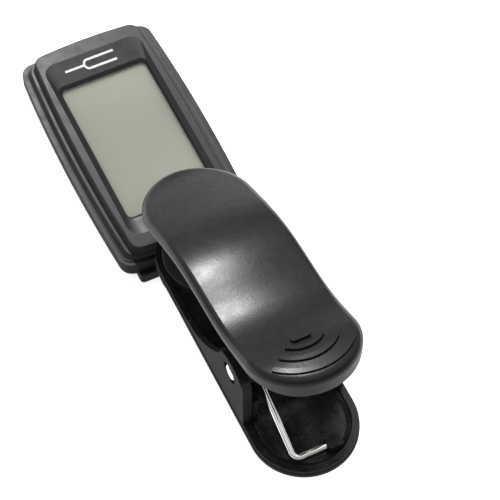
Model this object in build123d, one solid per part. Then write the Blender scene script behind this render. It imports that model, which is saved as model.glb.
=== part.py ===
from build123d import *
import math
import os

# Clip-on tuner: a framed display that tilts and swivels on a sprung plastic clip.
# Millimetres, +Z up. The display lies flat with its screen up, and the clip lies in line with
# it. The origin is the middle of the flat back of the display, which is what it rests on.
# X is across, +Y points to the top of the screen, and the clip reaches out along -Y.
# A pair of numbers is (low, high) along one axis, unless its comment says otherwise.

os.makedirs("parts", exist_ok=True)

# ---- display housing -------------------------------------------------------------
# outlines as (half width, half length), at the middle of their bowed sides
BACK_HALF = (17.2, 31.2)      # rear shell
RIM_HALF = (16.1, 30.4)       # foot of the sloped rim between the shell and the bezel
RIM_TOP_HALF = (15.25, 30.0)
BEZEL_FOOT_HALF = (14.6, 29.95)
BEZEL_HALF = (14.0, 29.9)
HOUSING_Y = 0.9               # the outlines sit this far towards the top of the screen
SIDE_BOW = 1.1                # how far the long sides bulge between their corners
END_BOW = 0.7
CORNER = 3.2
BEZEL_CORNER = 2.5
BEZEL_EDGE = 0.35
CAVITY_HALF = (13.2, 28.8)
CAVITY_CORNER = 1.6
BACK_ROUNDING = 1.5
PLATEAU_Z = 1.7               # the back pad that holds the battery door stands this proud
PLATEAU_HALF = (13.0, 26.0)
PLATEAU_CORNER = 2.5
PLATEAU_CHAMFER = 0.3
FLOOR_TOP = 3.0
SPLIT_Z = 6.4                 # joint between the rear shell and the bezel's rim
FLANGE_Z = 6.5
FLANGE_TOP = 7.3
BEZEL_UNDERSIDE = 7.7
LIP_Z = 8.5                   # the screen opening is narrowest here
BEZEL_TOP = 9.7
SCREEN_HALF = (10.5, 19.4)
RECESS_HALF = (10.9, 20.3)    # top of the steep wall round the screen
RECESS_TOP = 9.1
DISH_HALF = (12.1, 26.0)      # edge of the shallow dish that leads down to that wall
SCREEN_CORNER = 1.2
RECESS_CORNER = 1.4
DISH_CORNER = 3.0
GROOVE = 0.25                 # shadow line under the bezel's rim
GROOVE_REACH = 0.9

# ---- inside the display ----------------------------------------------------------
WINDOW_HALF = (11.6, 20.5)
WINDOW_CORNER = 1.5
WINDOW_GAP = 0.05
GLASS_HALF = (12.0, 21.2)
GLASS_BOTTOM = 6.25
GLASS_STEP = 6.95
GLASS_TOP = 7.65
BOARD_BOTTOM = 4.95
BOARD_TOP = 5.75
BOARD_HALF = (12.3, 20.8)
BOARD_TONGUE = (6.0, 27.4)    # half width, and reach towards the hinge
GLASS_OVERHANG = 2.2          # the upper glass carries the contact edge
STRIP_HALF_WIDTH = 11.0
STRIP_Y = (-21.0, -19.2)
CHIP_HALF = 3.5
CHIP_Y = (12.2, 19.2)
CHIP_HEIGHT = 0.95
CELL_RADIUS = 10.0
CELL_BOTTOM = 1.5
CELL_TOP = 4.7
CAP_RADIUS = 8.6              # the cell's smaller pole
CAP_HEIGHT = 0.35
CAN_ROUNDING = 0.3
WELL_RADIUS = 10.3
DOOR_RADIUS = 11.0
DOOR_TOP = 1.25
DOOR_GAP = 0.1
LUG_RADIUS = 11.8
LUG_BOTTOM = 0.55
LUG_TOP = 1.05
LUG_COUNT = 3
LUG_HALF_WIDTH = 2.4
NOTCH_HALF_WIDTH = 2.7
COIN_SLOT = (13.0, 1.7, 0.6)  # length, width and depth
DOOR_TURN = 45.0              # turn, in degrees, from locked to the notches
SCREW_PLACE = (10.2, 23.3)
SCREW_RADIUS = 0.95
SCREW_HEAD_RADIUS = 1.7
SCREW_HEAD = (0.3, 1.35)
SCREW_TOP = 6.4
SCREW_SLOT = (2.6, 0.45, 0.9)  # length, width and depth of one arm of the cross
SCREW_WELL = (1.9, 1.4)       # radius and height of the hole that sinks the head
SCREW_HOLE_RADIUS = 1.1
POST_RADIUS = 2.0             # post under the bezel that the screw bites into
POST_SEAT = (2.3, 0.25)       # radius and height of the pad it stands over
POST_BOTTOM = 3.3
BUTTON_Y = -24.8
BUTTON_RADIUS = 2.4
BUTTON_GAP = 0.15
BUTTON_BRIM = 0.6             # brim that keeps the button in its hole
BUTTON_BOTTOM = 7.4
BUTTON_RISE = 0.45
SWITCH_HALF = (2.6, 2.4)
SWITCH_TOP = 6.65
PLUNGER_RADIUS = 1.2
PLUNGER_TOP = 6.95
PIEZO_Y = -18.6
PIEZO_RADII = (6.5, 4.6)      # brass plate, ceramic face
PIEZO_LAYER = 0.25
LEAF_HALF = (1.5, 5.0)        # contact leaf on the cell's cap
LEAF_THICKNESS = 0.15
TAB_HALF_WIDTH = 1.2          # contact tab beside the cell
TAB_X = (10.02, 10.2)
TAB_REACH = 12.0
TAB_BOTTOM = 2.2
TAB_THICKNESS = 0.2

# ---- tilt hinge and swivel -------------------------------------------------------
TILT_Y = -33.5
TILT_Z = 2.9
KNUCKLE_RADIUS = 2.5
TILT_PIN_RADIUS = 1.0
RUNNING_GAP = 0.05            # radial play of every turning fit
FOOT_Y = (-31.3, -24.0)       # tab across the foot of the display
FOOT_BOTTOM = 0.3
FOOT_SLOT_Y = (-32.0, -30.2)  # cut that clears the arm's knuckle
EAR_ROOT_Y = -28.6
ARM_HALF_WIDTH = 4.3
EAR_INNER = 4.55
EAR_OUTER = 8.4
SWIVEL_Y = -39.0
DISC_RADIUS = 11.2
DISC_BOTTOM = 10.3
DISC_TOP = 12.6
HUB_RADIUS = 2.4
BOSS_RADIUS = 4.3
BOSS_BOTTOM = 6.6
SWIVEL_SCREW_RADIUS = 1.3
SWIVEL_SCREW_BITE = 0.6       # the screw's hole stops this far above the boss's end
SWIVEL_HEAD = (2.4, 0.55)     # radius and height
SWIVEL_CROSS = (2.8, 0.5, 0.7)  # length, width and depth of one arm
WASHER_RADIUS = 4.0
WASHER_THICKNESS = 0.2
WASHER_PLAY = 0.07
DISC_ROUNDING = 0.3

# ---- lower jaw -------------------------------------------------------------------
JAW_BOTTOM = 12.7
JAW_FLOOR = 14.2
JAW_HALF_WIDTH = 11.4
JAW_WALL = 1.2
JAW_REAR_Y = -84.3            # centre of the round handle end
RIM_FRONT = 15.0
RIM_REAR = 14.9
LOWER_PAD_RADIUS = 10.1
LOWER_PAD_TOP = 15.5
LOWER_PAD_ROUNDING = 0.3
HEAD_ROOM = (4.3, 0.95)       # radius and height of the pad's hollow over the swivel screw
PIN_Y = -73.2
PIN_Z = 26.0
PIN_RADIUS = 1.8
PIN_HALF_LENGTH = 11.3
PIN_CHAMFER = 0.25
PIN_RECESS = 2.45
PIN_RECESS_DEPTH = 0.8
EAR_THICKNESS = 2.0
EAR_REAR = 6.4                # reach of the ears behind the pin
GUSSET = (3.4, 1.6, 8.0)      # thicker rear end of an ear: across, along, and up from the floor
GUSSET_GROOVE = (0.35, 0.5)   # width and depth of its two upright grooves
EAR_SLOPE = [(-46.0, RIM_FRONT), (-58.0, 17.0), (-65.0, 22.5), (-69.6, 29.2)]
EAR_TOP = 30.8
EAR_REAR_TOP = 28.6
EAR_INSIDE_Y = (-79.6, -66.0)
JAW_ENDS_Y = (-98.0, -20.0)
SADDLE = (1.0, 2.2, 1.4, 1.9)  # before and after the hook's end, half width, and height
LEDGE = (0.15, 1.1)           # reach and height of the step round the jaw's foot
FLOOR_ROUNDING = 1.5

# ---- upper lever -----------------------------------------------------------------
LEVER_HALF_WIDTH = 12.0
LEVER_TIP_Y = -35.0
LEVER_TIP_REACH = 14.3        # the tip is a half ellipse, a little longer than round
LEVER_REAR_Y = -81.6
# crest line along the middle of the lever, as (y, z), from the tip to the handle end
CREST = [(-16.0, 21.6), (-28.0, 25.4), (-39.0, 31.2), (-47.5, 35.2), (-56.0, 37.5),
         (-66.0, 38.8), (-76.0, 41.8), (-86.0, 46.6), (-97.0, 51.8)]
# crest to the bottom of the side skirt, at the same places; it is deeper at the handle end
SKIRT = [3.0, 3.0, 3.0, 3.0, 3.0, 3.0, 3.2, 4.4, 5.4]
CROWN = 1.0                   # fall of the top from the crest to its sides
LEVER_SKIN = 2.0
LEVER_WALL = 1.7
LEVER_DEPTH = 45.0            # the underside's hollow reaches past everything below it
LEVER_EDGE = 1.5              # rounding of the top edge
LUG_INNER = 6.9
LUG_OUTER = 9.1
LUG_RING = 3.6
SEAT_Y = -35.0
SEAT_RADIUS = 8.2
SEAT_WALL = 1.4
SEAT_BOTTOM = 18.1
UPPER_PAD_RADIUS = 8.0
UPPER_PAD_ROUNDING = 0.5
PAD_GAP = 0.2
GRIP_Y = -79.5
GRIP_RADII = (4.9, 7.9, 11.1)
GRIP_HALF_ANGLE = 50.0
GRIP_WIDTH = 1.1
GRIP_HEIGHT = 0.45
GRIP_BAR = (4.4, 1.8)         # length and width of the short bar inside the arcs

# ---- spring ----------------------------------------------------------------------
WIRE_RADIUS = 0.7
COIL_RADIUS = 2.65
COIL_HALF = 5.5
COIL_TURNS = 7              # whole turns; the rest follows from the legs
SPRING_REST_Y = -91.3         # where the lower leg lies on the handle's floor
SPRING_TOP = (-87.0, 44.1)    # (y, z) where the upper leg presses under the lever
HOOK_LENGTH = 8.3
UPPER_HOOK_LENGTH = 4.8
BEND_RADIUS = 1.5


# ---- helpers ---------------------------------------------------------------------
def bowed_face(half, corner=CORNER, inset=0.0):
    """Rounded rectangle with bowed sides; the half sizes are taken at the bulges."""
    half_width, half_length = half[0] - inset, half[1] - inset
    x = half_width - SIDE_BOW
    y = half_length - END_BOW
    sides = [
        ThreePointArc((x, -y), (half_width, 0), (x, y)),
        ThreePointArc((x, y), (0, half_length), (-x, y)),
        ThreePointArc((-x, y), (-half_width, 0), (-x, -y)),
        ThreePointArc((-x, -y), (0, -half_length), (x, -y)),
    ]
    face = make_face(Curve() + sides)
    return Pos(0, HOUSING_Y) * fillet(face.vertices(), corner - inset)


def tapered(bottom_face, bottom, top_face, top):
    """Solid between two like outlines at two heights."""
    return loft([Pos(0, 0, bottom) * bottom_face, Pos(0, 0, top) * top_face])


def slab(face, bottom, top):
    """Prism of a flat XY face between two heights."""
    return extrude(Pos(0, 0, bottom) * face, top - bottom)


def rod_z(x, y, radius, bottom, top):
    """Upright cylinder."""
    return Pos(x, y, (bottom + top) / 2) * Cylinder(radius, top - bottom)


def rod_x(y, z, radius, left, right):
    """Cylinder along X."""
    return Pos((left + right) / 2, y, z) * Rot(0, 90, 0) * Cylinder(radius, right - left)


def block(x, y, z):
    """Box from its (low, high) limits on each axis."""
    centre = Pos(sum(x) / 2, sum(y) / 2, sum(z) / 2)
    return centre * Box(x[1] - x[0], y[1] - y[0], z[1] - z[0])


def corners(half_x, half_y):
    """The four sign combinations of a place."""
    return [(sx * half_x, sy * half_y) for sx in (-1, 1) for sy in (-1, 1)]


def stadium(half_width, tip_y, rear_y, tip):
    """Plan outline of a clip half: straight sides, round rear, and the given tip."""
    middle = Pos(0, (tip_y + rear_y) / 2) * Rectangle(2 * half_width, tip_y - rear_y)
    rear = Pos(0, rear_y) * Circle(half_width)
    return middle + rear + Pos(0, tip_y) * tip


def yz_prism(points, left, right):
    """Prism along X of a closed polygon given as (y, z) points."""
    outline = Polyline([(left, y, z) for y, z in points], close=True)
    return extrude(make_face(outline), right - left, dir=(1, 0, 0))


def rounded(half, corner):
    """Rounded rectangle from its (half width, half length)."""
    return RectangleRounded(2 * half[0], 2 * half[1], corner)


def save(node, shape):
    """Write one node."""
    export_step(shape, f"parts/{node}.step")


# ---- display ---------------------------------------------------------------------
def cavity(bottom, top):
    """The room inside the display, between two heights."""
    return slab(bowed_face(CAVITY_HALF, CAVITY_CORNER), bottom, top)


def screen_opening():
    """Shallow dish in the bezel's face, then a steep wall down to the edge of the screen."""
    edge = Pos(0, HOUSING_Y) * rounded(DISH_HALF, DISH_CORNER)
    recess = rounded(RECESS_HALF, RECESS_CORNER)
    dish = tapered(recess, RECESS_TOP, edge, BEZEL_TOP + 0.01)
    return dish + tapered(rounded(SCREEN_HALF, SCREEN_CORNER), LIP_Z, recess, RECESS_TOP)


def front_bezel():
    rim = tapered(bowed_face(RIM_HALF), FLANGE_Z, bowed_face(RIM_TOP_HALF), FLANGE_TOP)
    foot = bowed_face(BEZEL_FOOT_HALF, BEZEL_CORNER)
    frame = tapered(foot, FLANGE_TOP, bowed_face(BEZEL_HALF, BEZEL_CORNER), BEZEL_TOP)
    frame = fillet(frame.faces().sort_by(Axis.Z)[-1].edges(), BEZEL_EDGE)
    body = rim + frame - cavity(FLANGE_Z, BEZEL_UNDERSIDE)
    body -= slab(rounded(WINDOW_HALF, WINDOW_CORNER), BEZEL_UNDERSIDE, LIP_Z)
    body -= screen_opening()
    body -= rod_z(0, BUTTON_Y, BUTTON_RADIUS + BUTTON_GAP, BEZEL_UNDERSIDE, BEZEL_TOP)
    for x, y in corners(*SCREW_PLACE):
        body += rod_z(x, y, POST_RADIUS, POST_BOTTOM, BEZEL_UNDERSIDE)
        body -= rod_z(x, y, SCREW_RADIUS + 0.02, POST_BOTTOM, SCREW_TOP + 1)
    return body


def hinge_ears():
    """The tab across the foot of the display and the two ears that carry the tilt pin."""
    tab = block((-PLATEAU_HALF[0], PLATEAU_HALF[0]), FOOT_Y, (FOOT_BOTTOM, FLOOR_TOP))
    tab = fillet(tab.edges().filter_by(Axis.Z).group_by(Axis.Y)[0], 1.0)
    height = (TILT_Z - KNUCKLE_RADIUS, TILT_Z + KNUCKLE_RADIUS)
    for side in (-1, 1):
        across = tuple(sorted((side * EAR_INNER, side * EAR_OUTER)))
        tab += rod_x(TILT_Y, TILT_Z, KNUCKLE_RADIUS, *across)
        tab += block(across, (TILT_Y, EAR_ROOT_Y), height)
    tab -= block((-EAR_INNER, EAR_INNER), FOOT_SLOT_Y, (0.0, BEZEL_TOP))
    return tab


def battery_opening():
    """Well for the cell, the door's seat, its lug groove and the notches that let it in."""
    opening = rod_z(0, 0, WELL_RADIUS, DOOR_TOP, FLOOR_TOP)
    opening += rod_z(0, 0, DOOR_RADIUS + DOOR_GAP, 0, DOOR_TOP + RUNNING_GAP)
    reach = LUG_RADIUS + DOOR_GAP
    opening += rod_z(0, 0, reach, LUG_BOTTOM - RUNNING_GAP, LUG_TOP + RUNNING_GAP)
    for index in range(LUG_COUNT):
        notch = block((0, reach), (-NOTCH_HALF_WIDTH, NOTCH_HALF_WIDTH), (0, LUG_BOTTOM))
        opening += Rot(0, 0, index * 360 / LUG_COUNT - DOOR_TURN) * notch
    return opening


def rear_housing():
    shell = slab(bowed_face(BACK_HALF), PLATEAU_Z, SPLIT_Z)
    shell = fillet(shell.faces().sort_by(Axis.Z)[0].edges(), BACK_ROUNDING)
    shell -= cavity(FLOOR_TOP, SPLIT_Z)
    groove = bowed_face(BACK_HALF) - bowed_face(BACK_HALF, CORNER, GROOVE_REACH)
    shell -= slab(groove, SPLIT_Z - GROOVE, SPLIT_Z)
    plateau = slab(rounded(PLATEAU_HALF, PLATEAU_CORNER), 0, PLATEAU_Z + 0.6)
    plateau = chamfer(plateau.faces().sort_by(Axis.Z)[0].edges(), PLATEAU_CHAMFER)
    shell += plateau + hinge_ears()
    shell -= battery_opening()
    shell -= rod_x(TILT_Y, TILT_Z, TILT_PIN_RADIUS + RUNNING_GAP, -EAR_OUTER, EAR_OUTER)
    for x, y in corners(*SCREW_PLACE):
        shell += rod_z(x, y, POST_SEAT[0], FLOOR_TOP, FLOOR_TOP + POST_SEAT[1])
        shell -= rod_z(x, y, SCREW_WELL[0], 0, SCREW_WELL[1])
        shell -= rod_z(x, y, SCREW_HOLE_RADIUS, 0, FLOOR_TOP + POST_SEAT[1])
    return shell


def housing_screws():
    """Four small pan-head screws with a crossed slot, in one group."""
    length, width, depth = SCREW_SLOT
    bottom, top = SCREW_HEAD
    screws = []
    for x, y in corners(*SCREW_PLACE):
        screw = rod_z(x, y, SCREW_HEAD_RADIUS, bottom, top)
        screw += rod_z(x, y, SCREW_RADIUS, top, SCREW_TOP)
        screw -= Pos(x, y, bottom) * Box(length, width, depth)
        screw -= Pos(x, y, bottom) * Box(width, length, depth)
        screws.append(screw)
    return Compound(screws)


def display_window():
    half = [size - WINDOW_GAP for size in WINDOW_HALF]
    return slab(rounded(half, WINDOW_CORNER - WINDOW_GAP), BEZEL_UNDERSIDE, LIP_Z)


def lcd_panel():
    """Two glass plates; the upper one overhangs to carry the contact edge."""
    x, y = GLASS_HALF
    upper = block((-x, x), (-y, y), (GLASS_STEP, GLASS_TOP))
    return upper + block((-x, x), (-y + GLASS_OVERHANG, y), (GLASS_BOTTOM, GLASS_STEP))


def zebra_strip():
    """Elastic strip that joins the glass to the board."""
    return block((-STRIP_HALF_WIDTH, STRIP_HALF_WIDTH), STRIP_Y, (BOARD_TOP, GLASS_STEP))


def circuit_board():
    board = slab(rounded(BOARD_HALF, WINDOW_CORNER), BOARD_BOTTOM, BOARD_TOP)
    half, tip = BOARD_TONGUE
    return board + block((-half, half), (-tip, -BOARD_HALF[1] + 1), (BOARD_BOTTOM, BOARD_TOP))


def tuner_chip():
    chip = block((-CHIP_HALF, CHIP_HALF), CHIP_Y, (BOARD_BOTTOM - CHIP_HEIGHT, BOARD_BOTTOM))
    return chamfer(chip.faces().sort_by(Axis.Z)[0].edges(), 0.2)


def piezo_disc():
    """Brass disc with its ceramic face, glued to the floor beside the hinge."""
    plate, ceramic = PIEZO_RADII
    middle = FLOOR_TOP + PIEZO_LAYER
    brass = rod_z(0, PIEZO_Y, plate, FLOOR_TOP, middle)
    return brass + rod_z(0, PIEZO_Y, ceramic, middle, middle + PIEZO_LAYER)


def power_switch():
    x, y = SWITCH_HALF
    body = block((-x, x), (BUTTON_Y - y, BUTTON_Y + y), (BOARD_TOP, SWITCH_TOP))
    return body + rod_z(0, BUTTON_Y, PLUNGER_RADIUS, SWITCH_TOP, PLUNGER_TOP)


def power_button():
    cap = rod_z(0, BUTTON_Y, BUTTON_RADIUS, BUTTON_BOTTOM, BEZEL_TOP + BUTTON_RISE)
    cap = fillet(cap.faces().sort_by(Axis.Z)[-1].edges(), 0.5)
    brim = rod_z(0, BUTTON_Y, BUTTON_RADIUS + BUTTON_BRIM, BUTTON_BOTTOM, BUTTON_BOTTOM + 0.2)
    return cap + brim


def coin_cell():
    can = rod_z(0, 0, CELL_RADIUS, CELL_BOTTOM, CELL_TOP - CAP_HEIGHT)
    can = fillet(can.edges(), CAN_ROUNDING)
    return can + rod_z(0, 0, CAP_RADIUS, CELL_TOP - CAP_HEIGHT, CELL_TOP)


def battery_contact_minus():
    """Leaf between the cell's cap and the board."""
    x, y = LEAF_HALF
    leaf = block((-x, x), (-y, y), (CELL_TOP, CELL_TOP + LEAF_THICKNESS))
    return leaf + block((-x, x), (-x, x), (CELL_TOP, BOARD_BOTTOM))


def battery_contact_plus():
    """Bent tab that touches the side of the can."""
    width = (-TAB_HALF_WIDTH, TAB_HALF_WIDTH)
    upright = block(TAB_X, width, (TAB_BOTTOM, BOARD_BOTTOM))
    foot = block((TAB_X[0], TAB_REACH), width, (BOARD_BOTTOM - TAB_THICKNESS, BOARD_BOTTOM))
    return upright + foot


def battery_door():
    """Round door with three bayonet lugs and a slot for a coin."""
    door = rod_z(0, 0, DOOR_RADIUS, 0, DOOR_TOP)
    ring = rod_z(0, 0, LUG_RADIUS, LUG_BOTTOM, LUG_TOP)
    width = (-LUG_HALF_WIDTH, LUG_HALF_WIDTH)
    for index in range(LUG_COUNT):
        spoke = block((0, LUG_RADIUS + 1), width, (LUG_BOTTOM, LUG_TOP))
        door += ring & (Rot(0, 0, index * 360 / LUG_COUNT) * spoke)
    length, breadth, depth = COIN_SLOT
    return door - slab(SlotOverall(length, breadth), 0, depth)


# ---- swivel arm ------------------------------------------------------------------
def swivel_arm():
    """Disc under the jaw, a boss for its screw, and a neck down to the tilt knuckle."""
    disc = rod_z(0, SWIVEL_Y, DISC_RADIUS, DISC_BOTTOM, DISC_TOP)
    disc = fillet(disc.edges(), DISC_ROUNDING)
    hub_top = JAW_FLOOR + RUNNING_GAP
    arm = disc + rod_z(0, SWIVEL_Y, HUB_RADIUS, DISC_TOP, hub_top)
    arm += rod_z(0, SWIVEL_Y, BOSS_RADIUS, BOSS_BOTTOM, DISC_BOTTOM)
    knuckle = rod_x(TILT_Y, TILT_Z, KNUCKLE_RADIUS, -ARM_HALF_WIDTH, ARM_HALF_WIDTH)
    neck = [(TILT_Y - KNUCKLE_RADIUS, TILT_Z), (TILT_Y + KNUCKLE_RADIUS, TILT_Z),
            (TILT_Y + KNUCKLE_RADIUS, DISC_BOTTOM), (SWIVEL_Y, DISC_BOTTOM),
            (SWIVEL_Y, BOSS_BOTTOM), (SWIVEL_Y + 1.5, BOSS_BOTTOM)]
    arm += knuckle + yz_prism(neck, -ARM_HALF_WIDTH, ARM_HALF_WIDTH)
    arm -= rod_x(TILT_Y, TILT_Z, TILT_PIN_RADIUS, -ARM_HALF_WIDTH, ARM_HALF_WIDTH)
    hole_bottom = BOSS_BOTTOM + SWIVEL_SCREW_BITE
    return arm - rod_z(0, SWIVEL_Y, SWIVEL_SCREW_RADIUS, hole_bottom, hub_top)


def tilt_pin():
    pin = rod_x(TILT_Y, TILT_Z, TILT_PIN_RADIUS, -EAR_OUTER - 0.1, EAR_OUTER + 0.1)
    return chamfer(pin.edges(), 0.2)


def swivel_washer():
    bottom = JAW_FLOOR + WASHER_PLAY
    top = bottom + WASHER_THICKNESS
    hole = rod_z(0, SWIVEL_Y, SWIVEL_SCREW_RADIUS + DOOR_GAP, bottom, top)
    return rod_z(0, SWIVEL_Y, WASHER_RADIUS, bottom, top) - hole


def swivel_screw():
    """Flat-headed screw with a cross recess; its head hides under the lower pad."""
    radius, height = SWIVEL_HEAD
    seat = JAW_FLOOR + WASHER_PLAY + WASHER_THICKNESS
    screw = rod_z(0, SWIVEL_Y, radius, seat, seat + height)
    tip = BOSS_BOTTOM + SWIVEL_SCREW_BITE + 0.2
    screw += rod_z(0, SWIVEL_Y, SWIVEL_SCREW_RADIUS, tip, seat)
    for turn in (0, 90):
        screw -= Pos(0, SWIVEL_Y, seat + height) * Rot(0, 0, turn) * Box(*SWIVEL_CROSS)
    return screw


# ---- lower jaw -------------------------------------------------------------------
def jaw_side_profile():
    """Side view of the jaw: a low rim in front, the hinge ears, and the handle's rim."""
    ear_rear = PIN_Y - EAR_REAR
    rear, front = JAW_ENDS_Y
    outline = Curve() + [
        Line((front, JAW_BOTTOM), (front, RIM_FRONT)),
        Line((front, RIM_FRONT), EAR_SLOPE[0]),
        Spline(EAR_SLOPE, tangents=[(-1, 0), (-0.45, 1)]),
        ThreePointArc(EAR_SLOPE[-1], (PIN_Y, EAR_TOP), (ear_rear, EAR_REAR_TOP)),
        Line((ear_rear, EAR_REAR_TOP), (ear_rear, RIM_REAR)),
        Line((ear_rear, RIM_REAR), (rear, RIM_REAR)),
        Line((rear, RIM_REAR), (rear, JAW_BOTTOM)),
        Line((rear, JAW_BOTTOM), (front, JAW_BOTTOM)),
    ]
    half_width = JAW_HALF_WIDTH + 1
    face = Plane.YZ * make_face(outline)
    return extrude(Pos(-half_width, 0, 0) * face, 2 * half_width, dir=(1, 0, 0))


def jaw_plan(inset):
    """Plan outline of the jaw, moved in by the inset."""
    half_width = JAW_HALF_WIDTH - inset
    return stadium(half_width, SWIVEL_Y, JAW_REAR_Y, Circle(half_width))


def jaw_hollow():
    """Inside of the jaw: a flat floor in front, and a dished one in the handle."""
    split = PIN_Y + EAR_REAR
    front = slab(jaw_plan(JAW_WALL), JAW_FLOOR, 40)
    rear = fillet(front.faces().sort_by(Axis.Z)[0].edges(), FLOOR_ROUNDING)
    reach = JAW_HALF_WIDTH + 1
    front &= block((-reach, reach), (split, 0), (0, 50))
    return front + (rear & block((-reach, reach), (-110, split), (0, 50)))


def ear_gusset(side):
    """Thicker rear end of one ear, with two upright grooves."""
    across, along, up = GUSSET
    rear = PIN_Y - EAR_REAR
    left, right = sorted((side * (JAW_HALF_WIDTH - JAW_WALL / 2), side * (JAW_HALF_WIDTH - across)))
    gusset = block((left, right), (rear, rear + along), (JAW_FLOOR, JAW_FLOOR + up))
    width, depth = GUSSET_GROOVE
    for place in (0.35, 0.65):
        x = side * (JAW_HALF_WIDTH - place * across)
        gusset -= block((x - width / 2, x + width / 2), (rear, rear + depth),
                        (JAW_FLOOR + 1, JAW_FLOOR + up))
    return gusset


def lower_jaw():
    body = slab(jaw_plan(0), JAW_BOTTOM, 40) & jaw_side_profile()
    body += slab(jaw_plan(-LEDGE[0]), JAW_BOTTOM, JAW_BOTTOM + LEDGE[1])
    ears = block((-JAW_HALF_WIDTH, JAW_HALF_WIDTH), EAR_INSIDE_Y, (JAW_FLOOR, EAR_TOP + 1))
    keep = JAW_HALF_WIDTH - EAR_THICKNESS
    ears -= block((-keep, keep), JAW_ENDS_Y, (JAW_FLOOR, EAR_TOP + 1))
    body -= jaw_hollow() - ears
    for side in (-1, 1):
        body += ear_gusset(side)
    body -= rod_x(PIN_Y, PIN_Z, PIN_RADIUS, -JAW_HALF_WIDTH, JAW_HALF_WIDTH)
    for side in (-1, 1):
        deep = side * (JAW_HALF_WIDTH - PIN_RECESS_DEPTH)
        body -= rod_x(PIN_Y, PIN_Z, PIN_RECESS, *sorted((deep, side * (JAW_HALF_WIDTH + 1))))
    body -= rod_z(0, SWIVEL_Y, HUB_RADIUS + RUNNING_GAP, JAW_BOTTOM, JAW_FLOOR)
    return body + spring_anchor()


def spring_anchor():
    """Small saddle on the handle's floor that holds the end of the spring's hook."""
    x = -COIL_HALF + HOOK_LENGTH
    before, after, half, height = SADDLE
    saddle = block((x - before, x + after), (SPRING_REST_Y - half, SPRING_REST_Y + half),
                   (JAW_FLOOR - 0.2, JAW_FLOOR + height))
    z = JAW_FLOOR + WIRE_RADIUS + 0.1
    return saddle - rod_x(SPRING_REST_Y, z, WIRE_RADIUS + 0.05, x - before - 1, x + 0.4)


def lower_pad():
    pad = rod_z(0, SWIVEL_Y, LOWER_PAD_RADIUS, JAW_FLOOR, LOWER_PAD_TOP)
    pad = fillet(pad.faces().sort_by(Axis.Z)[-1].edges(), LOWER_PAD_ROUNDING)
    radius, height = HEAD_ROOM
    return pad - rod_z(0, SWIVEL_Y, radius, JAW_FLOOR, JAW_FLOOR + height)


def hinge_pin():
    pin = rod_x(PIN_Y, PIN_Z, PIN_RADIUS, -PIN_HALF_LENGTH, PIN_HALF_LENGTH)
    return chamfer(pin.edges(), PIN_CHAMFER)


# ---- upper lever -----------------------------------------------------------------
def lever_layer(top_drop, bottom_drops):
    """Wavy layer of the lever between two depths below its crowned top surface."""
    reach = LEVER_HALF_WIDTH + 2
    sections = []
    for (y, crest), bottom_drop in zip(CREST, bottom_drops):
        edge = crest - CROWN - top_drop
        foot = crest - bottom_drop
        ring = Curve() + [
            ThreePointArc((-reach, y, edge), (0, y, crest - top_drop), (reach, y, edge)),
            Line((reach, y, edge), (reach, y, foot)),
            Line((reach, y, foot), (-reach, y, foot)),
            Line((-reach, y, foot), (-reach, y, edge)),
        ]
        sections.append(make_face(ring))
    return loft(sections)


def lever_plan(inset):
    """Plan outline of the lever, moved in by the inset; its tip is a half ellipse."""
    half_width = LEVER_HALF_WIDTH - inset
    tip = Rot(0, 0, 90) * Ellipse(LEVER_TIP_REACH - inset, half_width)
    return stadium(half_width, LEVER_TIP_Y, LEVER_REAR_Y, tip)


def grip_ridges():
    """Short bar and three arcs, about one centre, to be cut to the shape of the top."""
    ridges = Pos(0, GRIP_Y - GRIP_BAR[1]) * SlotOverall(*GRIP_BAR)
    for radius in GRIP_RADII:
        ring = Circle(radius + GRIP_WIDTH / 2) - Circle(radius - GRIP_WIDTH / 2)
        angle = math.radians(GRIP_HALF_ANGLE)
        reach = 15.0
        wedge = make_face(Polyline([(0, 0), (-reach * math.sin(angle), -reach * math.cos(angle)),
                                    (0, -2 * reach),
                                    (reach * math.sin(angle), -reach * math.cos(angle))],
                                   close=True))
        ridges += Pos(0, GRIP_Y) * (ring & wedge)
    return slab(ridges, 30, 60)


def lever_lugs(hollow):
    """Two plates from the lever's underside down to rings round the hinge pin."""
    lugs = []
    for side in (-1, 1):
        left, right = sorted((side * LUG_INNER, side * LUG_OUTER))
        ring = rod_x(PIN_Y, PIN_Z, LUG_RING, left, right)
        web = block((left, right), (PIN_Y - LUG_RING, PIN_Y + LUG_RING), (PIN_Z, 50)) & hollow
        lugs.append(ring + web)
    return lugs


def pad_seat(hollow):
    """Cup under the tip: a round wall down from the skin, closed by a flat floor."""
    wall = rod_z(0, SEAT_Y, SEAT_RADIUS, SEAT_BOTTOM, 50)
    wall -= rod_z(0, SEAT_Y, SEAT_RADIUS - SEAT_WALL, SEAT_BOTTOM + SEAT_WALL, 50)
    return wall & hollow


def upper_lever():
    outer = lever_layer(0, SKIRT) & slab(lever_plan(0), 10, 60)
    top = max(outer.faces(), key=lambda face: face.area if face.normal_at().Z > 0.5 else 0)
    lever = fillet(top.edges(), LEVER_EDGE)
    deep = [LEVER_DEPTH] * len(CREST)
    hollow = lever_layer(LEVER_SKIN, deep) & slab(lever_plan(LEVER_WALL), -20, 60)
    lever -= hollow
    lever += grip_ridges() & lever_layer(-GRIP_HEIGHT, [LEVER_SKIN / 2] * len(CREST))
    for lug in lever_lugs(hollow):
        lever += lug
    lever += pad_seat(hollow)
    return lever - rod_x(PIN_Y, PIN_Z, PIN_RADIUS + RUNNING_GAP, -LUG_OUTER, LUG_OUTER)


def upper_pad():
    pad = rod_z(0, SEAT_Y, UPPER_PAD_RADIUS, LOWER_PAD_TOP + PAD_GAP, SEAT_BOTTOM)
    return fillet(pad.faces().sort_by(Axis.Z)[0].edges(), UPPER_PAD_ROUNDING)


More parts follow.
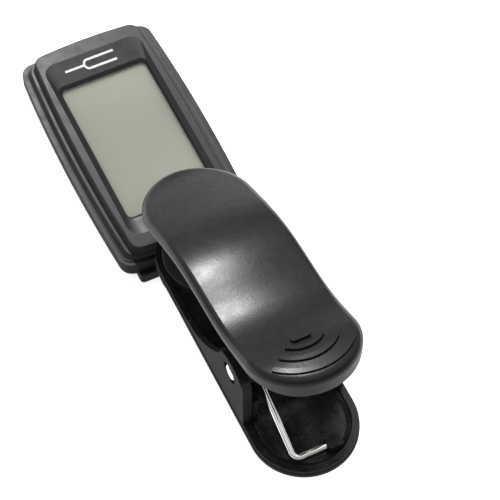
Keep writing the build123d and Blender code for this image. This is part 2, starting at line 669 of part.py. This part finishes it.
# ---- torsion spring --------------------------------------------------------------
def coil_point(x, angle):
    """Point of the coil's centre line at an angle, in degrees, from +Y towards +Z."""
    turn = math.radians(angle)
    return (x, PIN_Y + COIL_RADIUS * math.cos(turn), PIN_Z + COIL_RADIUS * math.sin(turn))


def leave_angle(y, z, side):
    """Angle at which a straight leg from the coil to the point (y, z) leaves the coil."""
    towards = math.degrees(math.atan2(z - PIN_Z, y - PIN_Y))
    spread = math.degrees(math.acos(COIL_RADIUS / math.hypot(y - PIN_Y, z - PIN_Z)))
    return towards + side * spread


def leg(x, angle, y, z, hook_end):
    """Straight leg from the coil to (y, z), bent there into a hook along X."""
    route = FilletPolyline(coil_point(x, angle), (x, y, z), (hook_end, y, z), radius=BEND_RADIUS)
    start = Plane(route @ 0, z_dir=route % 0)
    return sweep(start * Circle(WIRE_RADIUS), path=route)


def torsion_spring():
    """Coil round the hinge pin; one leg on the jaw's floor, one under the lever."""
    low = (SPRING_REST_Y, JAW_FLOOR + WIRE_RADIUS + 0.1)
    start = leave_angle(*low, 1)
    finish = leave_angle(*SPRING_TOP, -1)
    turns = COIL_TURNS + ((finish - start) / 360) % 1
    frame = Plane((-COIL_HALF, PIN_Y, PIN_Z), z_dir=(1, 0, 0),
                  x_dir=(0, math.cos(math.radians(start)), math.sin(math.radians(start))))
    helix = frame * Helix(2 * COIL_HALF / turns, 2 * COIL_HALF, COIL_RADIUS)
    coil = sweep(Plane(helix @ 0, z_dir=helix % 0) * Circle(WIRE_RADIUS), path=helix)
    spring = coil + leg(-COIL_HALF, start, *low, -COIL_HALF + HOOK_LENGTH)
    spring += leg(COIL_HALF, finish, *SPRING_TOP, COIL_HALF - UPPER_HOOK_LENGTH)
    for x, angle in ((-COIL_HALF, start), (COIL_HALF, finish)):
        spring += Pos(*coil_point(x, angle)) * Sphere(WIRE_RADIUS + 0.01)
    return spring


NODES = [front_bezel, rear_housing, housing_screws, display_window, lcd_panel, zebra_strip,
         circuit_board, tuner_chip, piezo_disc, power_switch, power_button, coin_cell,
         battery_contact_minus, battery_contact_plus, battery_door, swivel_arm, tilt_pin,
         swivel_washer, swivel_screw, lower_jaw, lower_pad, hinge_pin, upper_lever,
         upper_pad, torsion_spring]

for node in NODES:
    save(node.__name__, node())
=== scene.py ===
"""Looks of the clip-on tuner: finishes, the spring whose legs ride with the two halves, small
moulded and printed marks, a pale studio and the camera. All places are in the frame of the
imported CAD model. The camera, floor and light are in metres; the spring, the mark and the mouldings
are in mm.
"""
import math

import bpy
from mathutils import Matrix, Vector


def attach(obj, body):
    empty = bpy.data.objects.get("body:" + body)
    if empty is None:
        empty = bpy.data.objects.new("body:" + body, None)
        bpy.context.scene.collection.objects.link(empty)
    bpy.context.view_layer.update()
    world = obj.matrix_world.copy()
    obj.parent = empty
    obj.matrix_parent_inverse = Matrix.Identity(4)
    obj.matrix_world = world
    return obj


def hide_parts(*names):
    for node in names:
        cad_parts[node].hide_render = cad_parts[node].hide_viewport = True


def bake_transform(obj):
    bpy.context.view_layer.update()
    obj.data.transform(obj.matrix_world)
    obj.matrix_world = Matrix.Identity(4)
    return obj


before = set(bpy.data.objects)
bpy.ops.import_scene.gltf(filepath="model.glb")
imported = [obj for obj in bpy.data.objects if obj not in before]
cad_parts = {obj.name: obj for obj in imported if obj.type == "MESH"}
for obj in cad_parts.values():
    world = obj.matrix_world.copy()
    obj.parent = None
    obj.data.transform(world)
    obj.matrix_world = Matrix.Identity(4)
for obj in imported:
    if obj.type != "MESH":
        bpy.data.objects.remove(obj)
bpy.context.view_layer.update()
MM = 0.001

# ---- camera ----------------------------------------------------------------------
CAMERA_TARGET = Vector((9.85, -38.84, 9.2)) * MM
CAMERA_AZIMUTH = -25.88
CAMERA_ELEVATION = 57.12
CAMERA_ROLL = 0.2
CAMERA_DISTANCE = 436.4 * MM
CAMERA_LENS = 144.0


def make_camera():
    azimuth = math.radians(CAMERA_AZIMUTH)
    elevation = math.radians(CAMERA_ELEVATION)
    roll = math.radians(CAMERA_ROLL)
    back = Vector((math.sin(azimuth) * math.cos(elevation),
                   -math.cos(azimuth) * math.cos(elevation),
                   math.sin(elevation)))
    level = Vector((math.cos(azimuth), math.sin(azimuth), 0))
    up = back.cross(level)
    right = math.cos(roll) * level + math.sin(roll) * up
    up = back.cross(right)
    data = bpy.data.cameras.new("camera")
    data.lens = CAMERA_LENS
    data.sensor_width = 36.0
    data.clip_start = 0.01
    data.clip_end = 10.0
    camera = bpy.data.objects.new("camera", data)
    bpy.context.scene.collection.objects.link(camera)
    turn = Matrix((right, up, back)).transposed().to_4x4()
    camera.matrix_world = Matrix.Translation(CAMERA_TARGET + back * CAMERA_DISTANCE) @ turn
    bpy.context.scene.camera = camera


# ---- studio's floor and light ----------------------------------------------------
FLOOR_Z = -0.1 * MM           # just clear of the flat back
FLOOR_GLOW = 0.75             # keeps the paper white close to the tuner
TENT_HORIZON = 0.12
TENT_TOP = 1.25
TENT_NEAR = 0.5               # the tent's share of light on the near side
TENT_BLEND = (-0.6, 0.1)      # where that share begins and ends, along Y
FLOOR_HALF = 3.0
KEY_PLACE = (0.07, 0.68, 0.70)
KEY_AIM = (-0.007, -0.06, 0.038)
KEY_SIZE = 0.09
KEY_POWER = 6.0

# ---- spring, the same sizes as in the CAD model ----------------------------------
PIN = (-73.2, 26.0)           # (y, z) of the hinge pin
WIRE_RADIUS = 0.7
COIL_RADIUS = 2.65
COIL_HALF = 5.5
COIL_TURNS = 7
STEPS_PER_TURN = 40
LEG_LOW = (-91.3, 15.0)       # (y, z) of the leg's bend on the handle's floor
LEG_HIGH = (-87.0, 44.1)      # and of the one under the lever
HOOK_LOW = 8.3
HOOK_HIGH = 4.8
BEND_RADIUS = 1.5
BEND_STEPS = 8
DOME_SHARES = (0.9, 0.55)     # radii of the two rings that round a wire's end

# ---- mark printed on the bezel's top slope ---------------------------------------
SLOPE = ((20.3, 9.1), (26.9, 9.7))   # (y, z) of its lower and upper edge
MARK_CENTRE = (-1.0, 23.6)
PRINT_THICKNESS = 0.03
FORK_TIP = 6.0                # the tines' ends, to the right of the centre
FORK_TAIL = 6.5               # the stem's end, to its left
FORK_HALF = 1.55
FORK_BAR = 0.6
CROTCH = 0.7                  # centre of the fork's round end, to the left of the centre
OUTER_REACH = 1.2
INNER_REACH = 0.75

# ---- moulded details -------------------------------------------------------------
BEAD_RADIUS = 0.12
ROUNDEL_CENTRE = (-1.2, -84.4, 14.2)
ROUNDEL_RADIUS = 3.0

# ---- finish of upright walls -----------------------------------------------------
WALL_SHINE = 0.12


# ---- mesh helpers ----------------------------------------------------------------
def add_mesh(name, points, faces, slot, smooth=True):
    """New piece from points in mm, with the finish of a slot."""
    mesh = bpy.data.meshes.new(name)
    mesh.from_pydata([tuple(Vector(point) * MM) for point in points], [], faces)
    mesh.materials.append(bpy.data.materials[slot])
    for polygon in mesh.polygons:
        polygon.use_smooth = smooth
    piece = bpy.data.objects.new(name, mesh)
    bpy.context.scene.collection.objects.link(piece)
    return piece


def tube(name, path, radius, slot, sides=20):
    """Round wire along a path of points, with domed ends."""
    path = [Vector(point) for point in path]
    tangents = []
    for index in range(len(path)):
        before = path[max(index - 1, 0)]
        after = path[min(index + 1, len(path) - 1)]
        tangents.append((after - before).normalized())
    side = tangents[0].orthogonal().normalized()
    rings = []
    for point, tangent in zip(path, tangents):
        side = (side - tangent * side.dot(tangent)).normalized()
        other = tangent.cross(side)
        ring = []
        for index in range(sides):
            angle = 2 * math.pi * index / sides
            ring.append((math.cos(angle) * side + math.sin(angle) * other) * radius)
        rings.append((point, tangent, ring))
    for (point, tangent, ring), sign in ((rings[0], -1), (rings[-1], 1)):
        for share in DOME_SHARES:
            rise = math.sqrt(1 - share * share) * radius * sign
            level = (point + tangent * rise, tangent, [spoke * share for spoke in ring])
            rings.insert(0 if sign < 0 else len(rings), level)
    points = [point + spoke for point, tangent, ring in rings for spoke in ring]
    faces = []
    for level in range(len(rings) - 1):
        for index in range(sides):
            after = (index + 1) % sides
            faces.append((level * sides + index, level * sides + after,
                          (level + 1) * sides + after, (level + 1) * sides + index))
    top = (len(rings) - 1) * sides
    faces.append(tuple(reversed(range(sides))))
    faces.append(tuple(range(top, top + sides)))
    return add_mesh(name, points, faces, slot)


def flat_print(name, outline, body, slot):
    """Thin printed shape on the top slope of the bezel, from its (x, y) outline."""
    (low_y, low_z), (high_y, high_z) = SLOPE
    points = []
    for lift in (0.0, PRINT_THICKNESS):
        for x, y in outline:
            z = low_z + (y - low_y) * (high_z - low_z) / (high_y - low_y)
            points.append((x, y, z + lift))
    count = len(outline)
    faces = [tuple(reversed(range(count))), tuple(range(count, 2 * count))]
    for index in range(count):
        after = (index + 1) % count
        faces.append((index, after, count + after, count + index))
    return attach(add_mesh(name, points, faces, slot, smooth=False), body)


# ---- spring ----------------------------------------------------------------------
def coil_point(x, angle):
    """Point of the coil's centre line at x, at an angle about the hinge pin."""
    return Vector((x, PIN[0] + COIL_RADIUS * math.cos(angle),
                   PIN[1] + COIL_RADIUS * math.sin(angle)))


def leave_angle(place, side):
    """Angle at which a straight leg from the coil to (y, z) leaves the coil."""
    y, z = place[0] - PIN[0], place[1] - PIN[1]
    return math.atan2(z, y) + side * math.acos(COIL_RADIUS / math.hypot(y, z))


def leg_path(x, angle, place, hook_end):
    """From the coil straight to the bend, round it, and along X to the hook's end."""
    start = coil_point(x, angle)
    corner = Vector((x, *place))
    end = Vector((hook_end, *place))
    into = (corner - start).normalized()
    away = (end - corner).normalized()
    centre = corner + (away - into) * BEND_RADIUS
    path = [start]
    for step in range(BEND_STEPS + 1):
        turn = math.radians(90 * step / BEND_STEPS)
        path.append(centre - away * BEND_RADIUS * math.cos(turn)
                    + into * BEND_RADIUS * math.sin(turn))
    path.append(end)
    return path


def make_spring():
    """The coil stays where it is; each leg stays with its own half of the clip."""
    start = leave_angle(LEG_LOW, 1)
    finish = leave_angle(LEG_HIGH, -1)
    sweep = 2 * math.pi * COIL_TURNS + (finish - start) % (2 * math.pi)
    steps = STEPS_PER_TURN * (COIL_TURNS + 1)
    path = []
    for step in range(steps + 1):
        share = step / steps
        path.append(coil_point(COIL_HALF * (2 * share - 1), start + sweep * share))
    coil = tube("torsion_spring_coil", path, WIRE_RADIUS, "chrome_wire")
    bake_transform(coil)
    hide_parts("torsion_spring")
    low = leg_path(-COIL_HALF, start, LEG_LOW, -COIL_HALF + HOOK_LOW)
    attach(tube("torsion_spring_lower_leg", low, WIRE_RADIUS, "chrome_wire"), "lower_jaw")
    high = leg_path(COIL_HALF, finish, LEG_HIGH, COIL_HALF - HOOK_HIGH)
    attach(tube("torsion_spring_upper_leg", high, WIRE_RADIUS, "chrome_wire"), "upper_lever")


# ---- mark ------------------------------------------------------------------------
def fork_arc(start, stop, steps, reach, rise):
    """Part of an ellipse about the fork's crotch, between two angles in degrees."""
    x, y = MARK_CENTRE
    points = []
    for step in range(steps + 1):
        angle = math.radians(start + (stop - start) * step / steps)
        points.append((x - CROTCH + reach * math.cos(angle), y + rise * math.sin(angle)))
    return points


def fork_outline():
    """Tuning fork lying on its side: two tines to the right, a stem to the left."""
    x, y = MARK_CENTRE
    low, high = y - FORK_HALF, y + FORK_HALF
    tip, tail, neck = x + FORK_TIP, x - FORK_TAIL, x - CROTCH - OUTER_REACH
    outline = [(tail, y - FORK_BAR / 2), (neck, y - FORK_BAR / 2)]
    outline += fork_arc(180, 270, 6, OUTER_REACH, FORK_HALF)
    outline += [(tip, low), (tip, low + FORK_BAR)]
    outline += fork_arc(270, 90, 12, INNER_REACH, FORK_HALF - FORK_BAR)
    outline += [(tip, high - FORK_BAR), (tip, high)]
    outline += fork_arc(90, 180, 6, OUTER_REACH, FORK_HALF)
    return outline + [(neck, y + FORK_BAR / 2), (tail, y + FORK_BAR / 2)]


def make_mark():
    flat_print("fork_mark", fork_outline(), "display", "white_print")


# ---- moulded details -------------------------------------------------------------
def moulded_ring(name, centre, radius, slot, body):
    """Low raised ring: a round bead turned about the vertical through its centre."""
    around, across = 72, 10
    points = []
    faces = []
    for step in range(around):
        turn = 2 * math.pi * step / around
        for index in range(across):
            angle = 2 * math.pi * index / across
            reach = radius + BEAD_RADIUS * math.cos(angle)
            points.append((centre[0] + reach * math.cos(turn), centre[1] + reach * math.sin(turn),
                           centre[2] + BEAD_RADIUS * math.sin(angle)))
            after_step = (step + 1) % around
            after = (index + 1) % across
            faces.append((step * across + index, after_step * across + index,
                          after_step * across + after, step * across + after))
    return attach(add_mesh(name, points, faces, slot), body)


def make_details():
    moulded_ring("floor_roundel", ROUNDEL_CENTRE, ROUNDEL_RADIUS, "gloss_black_plastic", "lower_jaw")
    moulded_ring("floor_roundel_inner", ROUNDEL_CENTRE, ROUNDEL_RADIUS / 2, "gloss_black_plastic",
                 "lower_jaw")


# ---- node helpers ----------------------------------------------------------------
class Shader:
    """Small builder for one Principled material that reads the piece's own coordinates."""

    def __init__(self, name):
        self.material = bpy.data.materials.get(name) or bpy.data.materials.new(name)
        self.material.use_nodes = True
        self.tree = self.material.node_tree
        self.tree.nodes.clear()
        self.output = self.tree.nodes.new("ShaderNodeOutputMaterial")
        self.bsdf = self.tree.nodes.new("ShaderNodeBsdfPrincipled")
        self.tree.links.new(self.bsdf.outputs[0], self.output.inputs["Surface"])
        place = self.tree.nodes.new("ShaderNodeTexCoord")
        self.place = place.outputs["Object"]
        self.normal = place.outputs["Normal"]

    def set(self, **values):
        for name, value in values.items():
            self.bsdf.inputs[name.replace("_", " ")].default_value = value
        return self

    def link(self, output, name):
        self.tree.links.new(output, self.bsdf.inputs[name])

    def noise(self, cell, detail=2.0, roughness=0.5, stretch=(1, 1, 1)):
        """Noise whose features are about one cell (in mm) across; returns its value."""
        scale = self.tree.nodes.new("ShaderNodeVectorMath")
        scale.operation = "MULTIPLY"
        self.tree.links.new(self.place, scale.inputs[0])
        scale.inputs[1].default_value = stretch
        noise = self.tree.nodes.new("ShaderNodeTexNoise")
        noise.inputs["Scale"].default_value = 1.0 / (cell * MM)
        noise.inputs["Detail"].default_value = detail
        noise.inputs["Roughness"].default_value = roughness
        self.tree.links.new(scale.outputs[0], noise.inputs["Vector"])
        return noise.outputs["Fac"]

    def spread(self, value, low, high, start=0.35, stop=0.65):
        """Maps a value from its start..stop range onto low..high."""
        node = self.tree.nodes.new("ShaderNodeMapRange")
        node.inputs["From Min"].default_value = start
        node.inputs["From Max"].default_value = stop
        node.inputs["To Min"].default_value = low
        node.inputs["To Max"].default_value = high
        self.tree.links.new(value, node.inputs["Value"])
        return node.outputs["Result"]

    def blend(self, value, first, second):
        """Colour between two colours, by a value from 0 to 1."""
        node = self.tree.nodes.new("ShaderNodeMix")
        node.data_type = "RGBA"
        node.inputs["A"].default_value = (*first, 1)
        node.inputs["B"].default_value = (*second, 1)
        self.tree.links.new(value, node.inputs["Factor"])
        return node.outputs["Result"]

    def upward(self):
        """0 on upright walls, 1 on faces that look up."""
        split = self.tree.nodes.new("ShaderNodeSeparateXYZ")
        self.tree.links.new(self.normal, split.inputs[0])
        return self.spread(split.outputs["Z"], 0, 1, 0.3, 0.75)

    def matte_walls(self, low, high, cell, wall, shine):
        """Uneven roughness on faces that look up, and dull walls with little shine."""
        face = self.spread(self.noise(cell, 4.0), low, high)
        mix = self.tree.nodes.new("ShaderNodeMix")
        mix.inputs["A"].default_value = wall
        upward = self.upward()
        self.tree.links.new(upward, mix.inputs["Factor"])
        self.tree.links.new(face, mix.inputs["B"])
        self.link(mix.outputs["Result"], "Roughness")
        self.link(self.spread(upward, WALL_SHINE, shine, 0, 1), "Specular IOR Level")

    def bump(self, value, depth, strength=1.0, under=None):
        """Bump of a real depth in mm, on top of another bump if one is given."""
        node = self.tree.nodes.new("ShaderNodeBump")
        node.inputs["Strength"].default_value = strength
        node.inputs["Distance"].default_value = depth * MM
        self.tree.links.new(value, node.inputs["Height"])
        if under is not None:
            self.tree.links.new(under, node.inputs["Normal"])
        self.tree.links.new(node.outputs["Normal"], self.bsdf.inputs["Normal"])
        return node.outputs["Normal"]


# ---- materials -------------------------------------------------------------------
def satin_black_plastic():
    """Moulded ABS with a fine, slightly shiny grain, faintly violet in the light."""
    shader = Shader("satin_black_plastic")
    mottle = shader.noise(9.0, 3.0)
    shader.link(shader.blend(shader.spread(mottle, 0, 1), (0.010, 0.009, 0.0115),
                             (0.016, 0.015, 0.018)), "Base Color")
    shader.matte_walls(0.30, 0.42, 3.0, 0.7, 0.32)
    grain = shader.bump(shader.noise(0.22, 2.0), 0.006, 0.4)
    shader.bump(shader.noise(14.0, 1.0), 0.05, 0.3, grain)
    return shader.material


def textured_black_plastic():
    """Fine grain of the lever, polished a little by handling."""
    shader = Shader("textured_black_plastic")
    mottle = shader.noise(7.0, 3.0)
    shader.link(shader.blend(shader.spread(mottle, 0, 1), (0.008, 0.008, 0.009),
                             (0.012, 0.012, 0.013)), "Base Color")
    shader.matte_walls(0.26, 0.29, 2.0, 0.4, 0.28)
    shader.bump(shader.noise(0.5, 3.0, 0.7), 0.026, 0.7)
    return shader.material


def gloss_black_plastic():
    """Polished black plastic with flow ripples and light handling marks."""
    shader = Shader("gloss_black_plastic")
    mottle = shader.noise(6.0, 3.0)
    shader.link(shader.blend(shader.spread(mottle, 0, 1), (0.009, 0.009, 0.010),
                             (0.016, 0.015, 0.017)), "Base Color")
    shader.matte_walls(0.16, 0.30, 1.6, 0.75, 0.5)
    shader.bump(shader.noise(5.0, 2.0), 0.05, 0.4)
    return shader.material


def button_grey():
    shader = Shader("button_grey")
    shader.link(shader.blend(shader.spread(shader.noise(2.0), 0, 1), (0.12, 0.12, 0.13),
                             (0.15, 0.15, 0.16)), "Base Color")
    shader.link(shader.spread(shader.noise(0.8, 3.0), 0.45, 0.6), "Roughness")
    shader.bump(shader.noise(0.2), 0.01, 0.5)
    return shader.material


def black_rubber():
    """Soft moulded rubber of the grip pads."""
    shader = Shader("black_rubber")
    shader.link(shader.blend(shader.spread(shader.noise(4.0, 4.0), 0, 1), (0.012, 0.012, 0.012),
                             (0.028, 0.027, 0.026)), "Base Color")
    shader.link(shader.spread(shader.noise(1.0, 4.0), 0.55, 0.8), "Roughness")
    shader.bump(shader.noise(0.35, 4.0, 0.7), 0.03, 0.7)
    return shader.material


def lcd_glass():
    """Reflective liquid crystal panel: grey-green, a little uneven in tone."""
    shader = Shader("lcd_glass")
    tone = shader.noise(26.0, 1.0)
    shader.link(shader.blend(shader.spread(tone, 0, 1), (0.62, 0.64, 0.53),
                             (0.70, 0.72, 0.60)), "Base Color")
    shader.link(shader.spread(shader.noise(0.25), 0.38, 0.5), "Roughness")
    shader.bump(shader.noise(0.15), 0.004, 0.4)
    return shader.material


def clear_window():
    """Thin clear window: seen through straight on, glossy at a slant."""
    shader = Shader("clear_window")
    tree = shader.tree
    shader.set(Base_Color=(0.9, 0.9, 0.9, 1), IOR=1.49)
    shader.link(shader.spread(shader.noise(3.0, 4.0), 0.03, 0.09), "Roughness")
    clear = tree.nodes.new("ShaderNodeBsdfTransparent")
    clear.inputs["Color"].default_value = (0.97, 0.97, 0.965, 1)
    gloss = tree.nodes.new("ShaderNodeFresnel")
    gloss.inputs["IOR"].default_value = 1.49
    mix = tree.nodes.new("ShaderNodeMixShader")
    tree.links.new(gloss.outputs[0], mix.inputs["Fac"])
    tree.links.new(clear.outputs[0], mix.inputs[1])
    tree.links.new(shader.bsdf.outputs[0], mix.inputs[2])
    tree.links.new(mix.outputs[0], shader.output.inputs["Surface"])
    return shader.material


def board_green():
    shader = Shader("board_green")
    shader.link(shader.blend(shader.spread(shader.noise(1.2, 1.0), 0, 1, 0.48, 0.52),
                             (0.010, 0.085, 0.035), (0.020, 0.125, 0.050)), "Base Color")
    shader.link(shader.spread(shader.noise(0.8), 0.25, 0.4), "Roughness")
    shader.bump(shader.noise(1.2, 1.0), 0.03, 0.6)
    return shader.material


def chip_black():
    shader = Shader("chip_black")
    shader.link(shader.blend(shader.noise(0.6, 4.0), (0.010, 0.010, 0.011),
                             (0.030, 0.030, 0.032)), "Base Color")
    shader.link(shader.spread(shader.noise(0.4, 3.0), 0.5, 0.7), "Roughness")
    shader.bump(shader.noise(0.12, 3.0), 0.01, 0.6)
    return shader.material


def white_print():
    """Pad-printed ink, slightly uneven in cover."""
    shader = Shader("white_print")
    shader.link(shader.blend(shader.spread(shader.noise(0.5, 3.0), 0, 1), (0.75, 0.75, 0.75),
                             (0.90, 0.90, 0.89)), "Base Color")
    shader.link(shader.spread(shader.noise(0.4), 0.4, 0.55), "Roughness")
    shader.bump(shader.noise(0.2), 0.01, 0.5)
    return shader.material


def metal(name, first, second, rough, cell, depth, stretch=(1, 1, 1)):
    """Bare metal: two close tones, uneven polish and fine drawing or rolling lines."""
    shader = Shader(name)
    shader.set(Metallic=1.0)
    shader.link(shader.blend(shader.spread(shader.noise(2.5, 3.0), 0, 1), first, second),
                "Base Color")
    shader.link(shader.spread(shader.noise(0.9, 4.0), *rough), "Roughness")
    shader.bump(shader.noise(cell, 3.0, stretch=stretch), depth, 0.5)
    return shader.material


def make_materials():
    satin_black_plastic()
    textured_black_plastic()
    gloss_black_plastic()
    button_grey()
    black_rubber()
    clear_window()
    lcd_glass()
    board_green()
    chip_black()
    white_print()
    metal("brass", (0.80, 0.56, 0.24), (0.88, 0.66, 0.32), (0.22, 0.36), 0.3, 0.008)
    metal("bright_steel", (0.62, 0.62, 0.62), (0.74, 0.74, 0.73), (0.18, 0.30), 0.25, 0.006)
    metal("zinc_steel", (0.55, 0.56, 0.58), (0.68, 0.69, 0.70), (0.28, 0.42), 0.3, 0.008)
    metal("chrome_wire", (0.86, 0.83, 0.80), (0.95, 0.93, 0.91), (0.08, 0.18), 0.4, 0.004,
          (4, 1, 1))


# ---- studio ----------------------------------------------------------------------
def soft_light(name, place, aim, size, power):
    """Round area light at a place, turned towards its aim."""
    data = bpy.data.lights.new(name, "AREA")
    data.shape = "DISK"
    data.size = size
    data.energy = power
    light = bpy.data.objects.new(name, data)
    bpy.context.scene.collection.objects.link(light)
    light.location = place
    light.rotation_mode = "QUATERNION"
    light.rotation_quaternion = (Vector(aim) - Vector(place)).to_track_quat("-Z", "Y")


def make_studio():
    mesh = bpy.data.meshes.new("floor")
    corners = [(-1, -1), (1, -1), (1, 1), (-1, 1)]
    mesh.from_pydata([(x * FLOOR_HALF, y * FLOOR_HALF, FLOOR_Z) for x, y in corners],
                     [], [(0, 1, 2, 3)])
    floor = bpy.data.objects.new("floor", mesh)
    bpy.context.scene.collection.objects.link(floor)
    paper = Shader("floor_paper")
    paper.set(Base_Color=(0.9, 0.9, 0.9, 1), Roughness=0.9, Emission_Color=(1, 1, 1, 1),
              Emission_Strength=FLOOR_GLOW)
    mesh.materials.append(paper.material)
    make_tent()
    soft_light("key", KEY_PLACE, KEY_AIM, KEY_SIZE, KEY_POWER)
    bpy.context.scene.view_settings.view_transform = "Standard"


def make_tent():
    """White light tent: brightest overhead, dim at the horizon and on the near side."""
    world = bpy.data.worlds.new("studio")
    world.use_nodes = True
    tree = world.node_tree
    way = tree.nodes.new("ShaderNodeTexCoord").outputs["Generated"]
    split = tree.nodes.new("ShaderNodeSeparateXYZ")
    tree.links.new(way, split.inputs[0])
    height = tree.nodes.new("ShaderNodeMapRange")
    height.inputs["To Min"].default_value = TENT_HORIZON
    height.inputs["To Max"].default_value = TENT_TOP
    tree.links.new(split.outputs["Z"], height.inputs["Value"])
    depth = tree.nodes.new("ShaderNodeMapRange")
    depth.inputs["From Min"].default_value = TENT_BLEND[0]
    depth.inputs["From Max"].default_value = TENT_BLEND[1]
    depth.inputs["To Min"].default_value = TENT_NEAR
    tree.links.new(split.outputs["Y"], depth.inputs["Value"])
    product = tree.nodes.new("ShaderNodeMath")
    product.operation = "MULTIPLY"
    tree.links.new(height.outputs["Result"], product.inputs[0])
    tree.links.new(depth.outputs["Result"], product.inputs[1])
    background = tree.nodes["Background"]
    background.inputs["Color"].default_value = (1, 1, 1, 1)
    tree.links.new(product.outputs[0], background.inputs["Strength"])
    bpy.context.scene.world = world


make_camera()
make_materials()
make_spring()
make_mark()
make_details()
make_studio()
bpy.context.view_layer.update()
